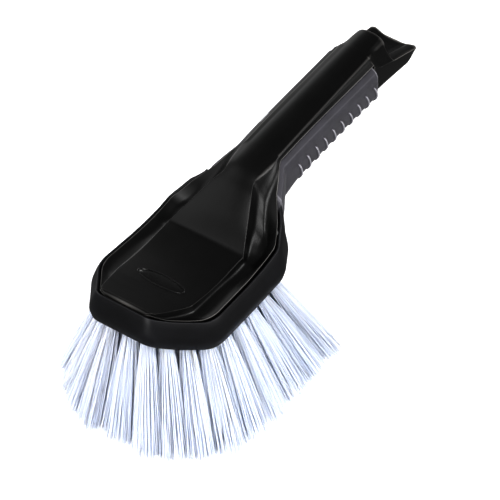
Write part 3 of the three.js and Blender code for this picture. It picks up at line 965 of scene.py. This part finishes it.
            straight = [
                (half + run * self.facet(start_x), top - drop * self.facet(start_x) * 0.3 - 0.1),
                (half + run * 0.6, top - drop * 0.5),
                (half + run * 0.84, top - drop * 0.8),
            ]
            blended = [
                (mix(a[0], b[0], ease_in), mix(a[1], b[1], ease_in), 2.0)
                for a, b in zip(straight, side)
            ]
            tuck = mix(0.3, 0.9, flare)
            corners = [
                *self.crowned(half, top, crown),
                (half, top, self.edge_round),
                *blended,
                (shoulder_half, shoulder_top, self.rim_round),
                (shoulder_half, shoulder_top - 0.9, 0.3),
                (shoulder_half - tuck, min(floor + 3, shoulder_top - 1.6), 1.5),
                (shoulder_half - tuck - 2.7, floor, 1.5),
                (0.0, floor, 0.0),
            ]
            made.append((float(x), flare, rounded(corners, 4)))
        return made

    def sweep(self, y: float, flare: float) -> float:
        """Returns how far a point of the flared end lies behind its section's middle."""
        share = abs(y) / self.tail_half
        corner = max((share - 0.8) / 0.2, 0.0) ** 2 * self.tail_corner * flare**4
        return self.tail_bow * flare * share**2 - corner

    def places(self) -> list[float]:
        """Returns every x at which the body has a section, the flared end's left out."""
        form = self.form
        outline = [x for x, _ in form.outline.points(form.body_inset)]
        nose = list(np.linspace(form.body_inset, form.body_inset + self.rim_round, 6))
        steps = list(np.arange(form.body_inset + self.rim_round, form.grip_end, self.step))
        fixed_places = [
            form.block_end + form.clearance,
            form.block_end + form.clearance + 0.5,
            form.grip_start - form.clearance - 0.1,
            form.grip_start - form.clearance + 0.1,
            form.grip_end + form.clearance - 0.1,
            form.grip_end + form.clearance + 0.2,
        ]
        wanted = sorted({round(float(x), 3) for x in [*nose, *steps, *fixed_places, *outline]})

        def is_fixed(x: float) -> bool:
            return any(abs(x - place) < 0.01 for place in fixed_places)

        kept: list[float] = []
        for x in wanted:
            near = bool(kept) and x - kept[-1] < self.least_step
            if near and not is_fixed(x):
                continue
            if near and not is_fixed(kept[-1]):
                kept.pop()
            kept.append(x)
        return kept

    def build(self, material: bpy.types.Material) -> bpy.types.Object:
        """Builds the body and returns its piece."""
        put = self.placing.point
        rings = [[put(x, y, z) for y, z in mirrored(self.section(x))] for x in self.places()]
        for x, flare, half in self.tail_sections():
            ring = mirrored(half)
            rings.append([put(x + self.sweep(y, flare), y, z) for y, z in ring])
        points, faces = skin(rings)
        piece = make_piece("handle_shell", points, faces, material)
        return stand_for(piece, ["handle_body"], "head, ramp and handle")


# ---- Bumper ------------------------------------------------------------------------------


@dataclass
class Bumper:
    """The soft strip round the head.

    Attributes:
        form: The shared sizes.
        placing: Where the drawing frame lies.
        profile: Its section as (inset, height over the sole line, reach of the round).
        climb: The share of the rim's rise at the neck that the strip follows.
        taper: How much of its thickness the strip loses towards its end.
    """

    form: BrushForm
    placing: Placing
    profile: tuple[tuple[float, float, float], ...] = (
        (6.1, -2.5, 0.0),
        (2.3, -2.5, 0.9),
        (0.0, 5.5, 4.0),
        (3.1, 14.4, 3.0),
        (4.6, 17.3, 1.1),
        (5.5, 17.0, 0.5),
        (6.5, 15.0, 0.4),
        (6.5, -2.4, 0.3),
        (6.1, -2.5, 0.0),
    )
    climb: float = 0.82
    taper: float = 0.35

    def build(self, material: bpy.types.Material) -> bpy.types.Object:
        """Builds the strip and returns its piece."""
        form = self.form
        outline = form.outline
        base = outline.points(0.0)
        sole, rise = form.sole(), form.rise()
        bulge = self.profile[2][1]
        keep = next(i for i, p in enumerate(base) if p[0] > form.bumper_end)
        section = rounded(self.profile, 5)[:-1]
        columns = [outline.points(inset) for inset, _ in section]
        share = (form.bumper_end - base[keep - 1][0]) / (base[keep][0] - base[keep - 1][0])

        def ring(i: int, side: int) -> list[Point]:
            along = base[i][0] if i < keep else form.bumper_end
            level, taller = sole(along), rise(along)
            made = []
            for (_, height), column in zip(section, columns):
                x, y = column[i]
                inner = columns[-1][i]
                if i >= keep:
                    x, y = form.bumper_end, mix(column[i - 1][1], column[i][1], share)
                    inner = (x, mix(columns[-1][i - 1][1], inner[1], share))
                thinner = self.taper * ease((along - form.heel) / (form.bumper_end - form.heel))
                x, y = mix(x, inner[0], thinner), mix(y, inner[1], thinner)
                upper = ease((height - bulge) / (form.bumper_height - bulge))
                lifted = level + height + taller * self.climb * upper
                made.append(self.placing.point(x, side * y, lifted))
            return made

        right = [ring(i, -1) for i in range(keep, 0, -1)]
        left = [ring(i, 1) for i in range(keep + 1)]
        points, faces = skin([*right, *left])
        piece = make_piece("bumper_strip", points, faces, material)
        return stand_for(piece, ["head_bumper"], "soft strip round the head")


# ---- Grips -------------------------------------------------------------------------------


class Side(Enum):
    """The two sides of the handle, with the sign of their y."""

    RIGHT = -1
    LEFT = 1


@dataclass
class Grip:
    """One ribbed rubber grip on the handle's side.

    Attributes:
        form: The shared sizes.
        placing: Where the drawing frame lies.
        side: Which side it lies on.
        thickness: From its seat to its face.
        bulge: How far its face stands out from the handle's edge.
        ridge: How far out, and how far down, the ridge line under its top band is.
        rib_count: Number of ribs.
        rib_pitch: Distance from rib to rib along the handle.
        rib_first: The rearmost rib's place.
        rib_half: Half of a rib's width.
        rib_height: How far a rib stands proud.
        rib_lean: How far a rib runs back on its way down.
        rib_top: How far under the grip's top edge a rib starts.
        rib_onset: How quickly a rib rises to its height on its way down.
        top_gap: How far its top lies under the handle's edge.
        bottom_gap: How far its bottom lies over the handle's underside.
        end_round: How much smaller its end sections are.
        step: Distance between sections.
    """

    form: BrushForm
    placing: Placing
    side: Side
    thickness: float = 5.8
    bulge: float = 4.0
    ridge: Pair = (2.6, 1.9)
    rib_count: int = 10
    rib_pitch: float = 8.4
    rib_first: float = 227.0
    rib_half: float = 1.05
    rib_height: float = 1.0
    rib_lean: float = 4.7
    rib_top: float = 8.5
    rib_onset: float = 6.0
    top_gap: float = 1.1
    bottom_gap: float = 0.3
    end_round: float = 0.7
    step: float = 0.42

    def rib_lift(self, x: float, depth: float) -> float:
        """Returns how far the ribs lift the face.

        Args:
            x: The place along the handle.
            depth: How far down the face, as a share of the way from a rib's top to its end.

        Returns:
            The lift in millimetres.
        """
        if depth <= 0:
            return 0.0
        lean = self.rib_lean * (1 - (1 - min(depth, 1.0)) ** 2)
        lift = 0.0
        for i in range(self.rib_count):
            middle = self.rib_first - self.rib_pitch * i + lean
            away = abs(x - middle) / self.rib_half
            lift = max(lift, math.sqrt(max(1 - away**2, 0.0)))
        return self.rib_height * lift * ease(depth * self.rib_onset)

    def build(self, material: bpy.types.Material) -> bpy.types.Object:
        """Builds the grip and returns its piece."""
        form = self.form
        edge_half, edge_top, bottom_at = form.edge_half(), form.edge_top(), form.bottom()
        out, down = self.ridge
        count = round((form.grip_end - form.grip_start) / self.step)
        rings = []
        for k in range(count + 1):
            x = mix(form.grip_start, form.grip_end, k / count)
            from_end = min(x - form.grip_start, form.grip_end - x)
            shrink = self.end_round * (1 - ease(from_end / 0.9))
            edge = edge_half(x)
            top = edge_top(x) - self.top_gap - shrink
            bottom = bottom_at(x) + self.bottom_gap + shrink
            inner = edge - (self.thickness - self.bulge) + form.clearance
            outer = edge + self.bulge - shrink
            face = [
                (inner, mix(top, bottom, 0.5), 0.0),
                (inner, top, 0.3),
                (edge - 0.2, top, 0.4),
                (edge + out - shrink, top - down, 0.8),
                (mix(edge + out, outer, 0.75), mix(top, bottom, 0.2), 2.0),
                (outer, mix(top, bottom, 0.42), 3.0),
                (outer - 0.2, mix(top, bottom, 0.62), 2.0),
                (outer - 0.5, bottom + 4, 2.0),
                (edge + 1, bottom, 1.6),
                (inner, bottom, 0.3),
                (inner, mix(top, bottom, 0.5), 0.0),
            ]
            outline = rounded(face, 5)[:-1]
            start, end = top - self.rib_top, bottom + 1.2
            middle = mix(inner, outer, 0.5)
            ring = []
            for y, z in outline:
                depth = (start - z) / (start - end) if y > middle - 0.6 else 0.0
                ring.append((y + self.rib_lift(x, depth), z))
            rings.append([self.placing.point(x, self.side.value * y, z) for y, z in ring])
        points, faces = skin(rings)
        name = f"grip_pad_{self.side.name.lower()}"
        piece = make_piece(name, points, faces, material)
        node = f"grip_{self.side.name.lower()}"
        return stand_for(piece, [node], "ribbed rubber grip")


# ---- Badge -------------------------------------------------------------------------------


@dataclass
class Badge:
    """The blank oval let into the panel: a thin rim, a groove and a low domed field.

    Attributes:
        body: The body that it lies on.
        middle: Its place along x.
        half_length: Half of its length across the brush.
        half_width: Half of its width along the brush.
        profile: Rings as (share of the way out, height over the panel).
        sides: Points round each ring.
    """

    body: HandleBody
    middle: float = 42.0
    half_length: float = 17.0
    half_width: float = 5.5
    profile: tuple[Pair, ...] = (
        (1.0, -1.0),
        (1.0, 0.1),
        (0.985, 0.32),
        (0.95, 0.4),
        (0.915, 0.3),
        (0.9, 0.0),
        (0.885, -0.12),
        (0.86, -0.08),
        (0.8, 0.1),
        (0.6, 0.28),
        (0.3, 0.4),
    )
    sides: int = 96

    def build(self, material: bpy.types.Material) -> bpy.types.Object:
        """Builds the badge and returns its piece."""
        body = self.body
        front, back = self.middle - self.half_width, self.middle + self.half_width
        slope = (body.top_at(back) - body.top_at(front)) / (2 * self.half_width)
        rings = []
        for share, height in self.profile:
            ring = []
            for i in range(self.sides):
                angle = 2 * math.pi * i / self.sides
                trim = (1 - share) * self.half_width * 1.6
                along = math.cos(angle) * max(self.half_width - trim, 0.2)
                reach = max(self.half_length - trim, self.half_length * share * 0.6)
                across = math.sin(angle) * reach
                crown = body.crown(self.middle) * (1 - abs(across / body.panel_half) ** 2.2)
                level = body.top_at(self.middle) + crown + slope * along
                ring.append(body.placing.point(self.middle + along, across, level + height))
            rings.append(ring)
        points, faces = skin(rings)
        piece = make_piece("badge_oval", points, faces, material)
        return stand_for(piece, ["badge_insert"], "blank oval badge")


# ---- Tufts -------------------------------------------------------------------------------


@dataclass(frozen=True)
class TuftCone:
    """A packed tuft's middle line and radii, in metres.

    Attributes:
        levels: Middles of its root, mouth and tip.
        radii: Its radii there.
    """

    levels: tuple[Vector, Vector, Vector]
    radii: tuple[float, float, float]

    @classmethod
    def of_node(cls, node: bpy.types.Object) -> "TuftCone":
        """Reads the cone from the three level rings of a packed tuft."""
        heights = sorted({round(v.co.z, 5) for v in node.data.vertices}, reverse=True)
        middles, radii = [], []
        for height in heights:
            ring = [v.co for v in node.data.vertices if abs(v.co.z - height) < 2e-5]
            corners = {tuple(round(c, 6) for c in co) for co in ring}
            middle = sum((Vector(c) for c in corners), Vector()) / len(corners)
            middles.append(middle)
            radii.append(max((Vector(c) - middle).length for c in corners))
        return cls(levels=tuple(middles), radii=tuple(radii))


@dataclass
class TuftField:
    """Every bristle tuft, each a bundle of loose filaments set in its hole.

    Attributes:
        per_tuft: Filaments in each tuft.
        filament_mm: A filament's diameter.
        sides: Sides of a filament's section.
        stations: Where along its length a filament has a section, as shares.
        splay: How far the tips spread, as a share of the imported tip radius.
        uneven_mm: How much shorter than the trim line a filament may be.
        opening: How early a bundle opens; 1 is evenly, less is sooner.
        stray_share: The share of filaments that stray from their bundle.
        stray_reach: How much further than the others those reach.
        trim_mm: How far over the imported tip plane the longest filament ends.
        sway_mm: How far a filament wanders sideways at mid length.
        seed: Where the random numbers start.
    """

    per_tuft: int = 230
    filament_mm: float = 0.5
    sides: int = 3
    stations: tuple[float, ...] = (0.0, 0.3, 0.5, 0.7, 0.86, 1.0)
    splay: float = 1.34
    uneven_mm: float = 2.6
    opening: float = 0.72
    stray_share: float = 0.04
    stray_reach: float = 1.25
    trim_mm: float = 0.25
    sway_mm: float = 1.0
    seed: int = 7

    def filament(
        self, cone: TuftCone, share: float, angle: float, chance: random.Random
    ) -> tuple[list[Point], list[tuple[int, ...]]]:
        """Builds one filament.

        Args:
            cone: The tuft that it belongs to.
            share: Its distance from the tuft's middle line, as a share of the radius.
            angle: Its place round the middle line.
            chance: The source of its small differences.

        Returns:
            Its vertices and faces.
        """
        root, mouth, tip = cone.levels
        out = Vector((math.cos(angle), math.sin(angle), 0.0))
        thick = self.filament_mm * MM / 2
        start = root + out * share * (cone.radii[0] - thick)
        collar = mouth + out * share * (cone.radii[1] - thick)
        stray = self.stray_reach if chance.random() < self.stray_share else 1.0
        reach = share * cone.radii[2] * self.splay * stray * chance.uniform(0.93, 1.07)
        short = abs(chance.gauss(0.0, 0.4)) * self.uneven_mm * MM
        end = tip + out * reach + Vector((chance.gauss(0, 0.5), chance.gauss(0, 0.5), 0)) * MM
        end.z = min(tip.z + self.trim_mm * MM + short, tip.z + 3.2 * self.uneven_mm * MM)
        sway = Vector((chance.gauss(0, 1), chance.gauss(0, 1), 0)) * self.sway_mm * MM * 0.5
        twist = chance.uniform(0, math.tau)
        points: list[Point] = []
        for t in self.stations:
            flare = t**self.opening
            middle = collar.lerp(end, t)
            middle += out * reach * (flare - t)
            middle += sway * math.sin(math.pi * t)
            if t == 0.0:
                middle = start
            radius = thick * (1.0 if t < 0.9 else 0.8)
            for k in range(self.sides):
                turn = twist + math.tau * k / self.sides
                rim = Vector((math.cos(turn), math.sin(turn), 0.0)) * radius
                points.append(tuple(middle + rim))
        faces: list[tuple[int, ...]] = []
        for r in range(len(self.stations) - 1):
            for k in range(self.sides):
                a, b = r * self.sides + k, r * self.sides + (k + 1) % self.sides
                faces.append((a, a + self.sides, b + self.sides, b))
        last = (len(self.stations) - 1) * self.sides
        faces.append(tuple(range(self.sides)))
        faces.append(tuple(range(last, last + self.sides))[::-1])
        return points, faces

    def tuft(self, node: str, material: bpy.types.Material) -> bpy.types.Object:
        """Builds the bundle that stands for one packed tuft."""
        cone = TuftCone.of_node(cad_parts[node])
        chance = random.Random(f"{self.seed}-{node}")
        points: list[Point] = []
        faces: list[tuple[int, ...]] = []
        golden = math.pi * (3 - math.sqrt(5))
        for i in range(self.per_tuft):
            share = math.sqrt((i + 0.5) / self.per_tuft)
            angle = golden * i + chance.uniform(-0.25, 0.25)
            more, sides = self.filament(cone, share, angle, chance)
            faces += [tuple(k + len(points) for k in face) for face in sides]
            points += more
        piece = make_piece(node.replace("tuft", "bristles"), points, faces, material)
        return stand_for(piece, [node], "bundle of filaments")

    def build(self, material: bpy.types.Material) -> None:
        """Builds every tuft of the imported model."""
        for node in sorted(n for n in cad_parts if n.startswith("tuft_")):
            self.tuft(node, material)


# ---- Studio ------------------------------------------------------------------------------


@dataclass(frozen=True)
class SoftLight:
    """A square soft box that faces the brush.

    Attributes:
        name: The light's name.
        toward: The direction from the brush to the light.
        distance: How far away it is, in metres.
        size: Its side, in metres.
        watts: Its power.
    """

    name: str
    toward: Point
    distance: float
    size: float
    watts: float

    def build(self, aim: Vector) -> None:
        """Adds the light to the scene."""
        data = bpy.data.lights.new(self.name, "AREA")
        data.shape = "SQUARE"
        data.size = self.size
        data.energy = self.watts
        light = bpy.data.objects.new(self.name, data)
        away = Vector(self.toward).normalized()
        light.location = aim + away * self.distance
        light.rotation_mode = "QUATERNION"
        light.rotation_quaternion = (-away).to_track_quat("-Z", "Y")
        bpy.context.scene.collection.objects.link(light)


@dataclass(frozen=True)
class Studio:
    """A pale floor, soft boxes, a dim room and the camera.

    Attributes:
        floor_side: The floor's side, in metres.
        floor_colour: The floor's colour.
        room_colour: The colour of the room that the brush mirrors.
        room_strength: How bright that room is.
        aim: What the camera looks at, in the drawing frame.
        azimuth_deg: The camera's place round the brush; 0 looks along +Y.
        elevation_deg: Its angle above the floor.
        distance: Its distance from the aim, in metres.
        lens: Its focal length, in millimetres.
        sensor: Its sensor's width, in millimetres.
        lights: The soft boxes.
        lit_height: The height that they face, over the middle of the floor, in metres.
        exposure: The picture's exposure, in stops.
        gamma: Its contrast; less than 1 deepens the blacks.
    """

    floor_side: float = 12.0
    floor_colour: str = "#FAFAFA"
    room_colour: str = "#FFFFFF"
    room_strength: float = 0.3
    aim: Point = (77.9, -37.2, 39.8)
    azimuth_deg: float = -53.83
    elevation_deg: float = 42.98
    distance: float = 3.17
    lens: float = 396.2
    sensor: float = 36.0
    lights: tuple[SoftLight, ...] = (
        SoftLight("key_left", (-0.45, 0.68, 0.60), 1.8, 1.6, 15.0),
        SoftLight("fill_front", (-0.48, -0.38, 0.79), 2.0, 0.8, 30.0),
        SoftLight("side_right", (0.25, -0.85, 0.48), 2.0, 0.9, 30.0),
        SoftLight("nose_low", (-0.88, -0.34, 0.33), 2.0, 0.7, 24.0),
        SoftLight("rim_behind", (0.50, 0.82, 0.28), 2.0, 1.2, 11.0),
    )
    lit_height: float = 0.08
    exposure: float = 0.3
    gamma: float = 0.71

    def build(self, placing: Placing) -> None:
        """Builds the floor, the room, the lights and the camera."""
        self.add_floor()
        self.add_room()
        middle = Vector((0.0, 0.0, self.lit_height))
        for light in self.lights:
            light.build(middle)
        self.add_camera(Vector(placing.point(*self.aim)))
        view = bpy.context.scene.view_settings
        view.view_transform = "Standard"
        view.exposure, view.gamma = self.exposure, self.gamma

    def add_floor(self) -> None:
        """Adds the floor as a stage, with a matt paper finish."""
        half = self.floor_side / 2
        mesh = bpy.data.meshes.new("floor")
        corners = [(-half, -half, 0), (half, -half, 0), (half, half, 0), (-half, half, 0)]
        mesh.from_pydata(corners, [], [(0, 1, 2, 3)])
        paper, tree, shader = start_material("paper_coated_matt")
        fibre = noise(tree, 60.0)
        soft = add(
            tree, "ShaderNodeMapRange", {"To Min": 0.85, "To Max": 0.95}, {"Value": fibre}
        )
        tree.links.new(soft.outputs["Result"], shader.inputs["Roughness"])
        shader.inputs["Base Color"].default_value = linear(self.floor_colour)
        shader.inputs["Specular IOR Level"].default_value = 0.1
        mesh.materials.append(paper)
        floor = bpy.data.objects.new("floor", mesh)
        bpy.context.scene.collection.objects.link(floor)
        # Dark cards keep the pale floor out of the black moulding's shine.
        floor.visible_glossy = False

    def add_room(self) -> None:
        """Adds the dim, even room."""
        world = bpy.data.worlds.new("studio_room")
        world.use_nodes = True
        room = world.node_tree.nodes["Background"]
        room.inputs["Color"].default_value = linear(self.room_colour)
        room.inputs["Strength"].default_value = self.room_strength
        bpy.context.scene.world = world

    def add_camera(self, aim: Vector) -> None:
        """Adds the camera, facing the aim, and makes it the scene's own."""
        data = bpy.data.cameras.new("camera")
        data.lens = self.lens
        data.sensor_width = self.sensor
        data.clip_end = 50.0
        camera = bpy.data.objects.new("camera", data)
        azimuth, elevation = math.radians(self.azimuth_deg), math.radians(self.elevation_deg)
        back = Vector(
            (
                math.sin(azimuth) * math.cos(elevation),
                -math.cos(azimuth) * math.cos(elevation),
                math.sin(elevation),
            )
        )
        camera.location = aim + back * self.distance
        camera.rotation_mode = "QUATERNION"
        camera.rotation_quaternion = (-back).to_track_quat("-Z", "Y")
        bpy.context.scene.collection.objects.link(camera)
        bpy.context.scene.camera = camera


# ---- The whole brush -----------------------------------------------------------------------


def dress_block(material: bpy.types.Material) -> None:
    """Gives the packed bristle block its finish, as its own shape is shown."""
    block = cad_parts["bristle_block"]
    block.data.materials.clear()
    block.data.materials.append(material)
    LOG.info("bristle_block: the packed block with its own finish")


def main() -> None:
    """Builds the studio and every piece of the brush."""
    logging.basicConfig(level=logging.INFO, format="%(name)s %(message)s")
    form = BrushForm()
    placing = Placing.from_frame(form.bumper_skirt)
    Studio().build(placing)
    body = HandleBody(form, placing)
    body.build(Finish.BODY.value.material())
    Bumper(form, placing).build(Finish.BUMPER.value.material())
    rubber = Finish.GRIP.value.material()
    for side in Side:
        Grip(form, placing, side).build(rubber)
    Badge(body).build(Finish.BADGE.value.material())
    dress_block(Finish.BLOCK.value.material())
    TuftField().build(BristleFilament().material())


if __name__ == "__main__":
    main()
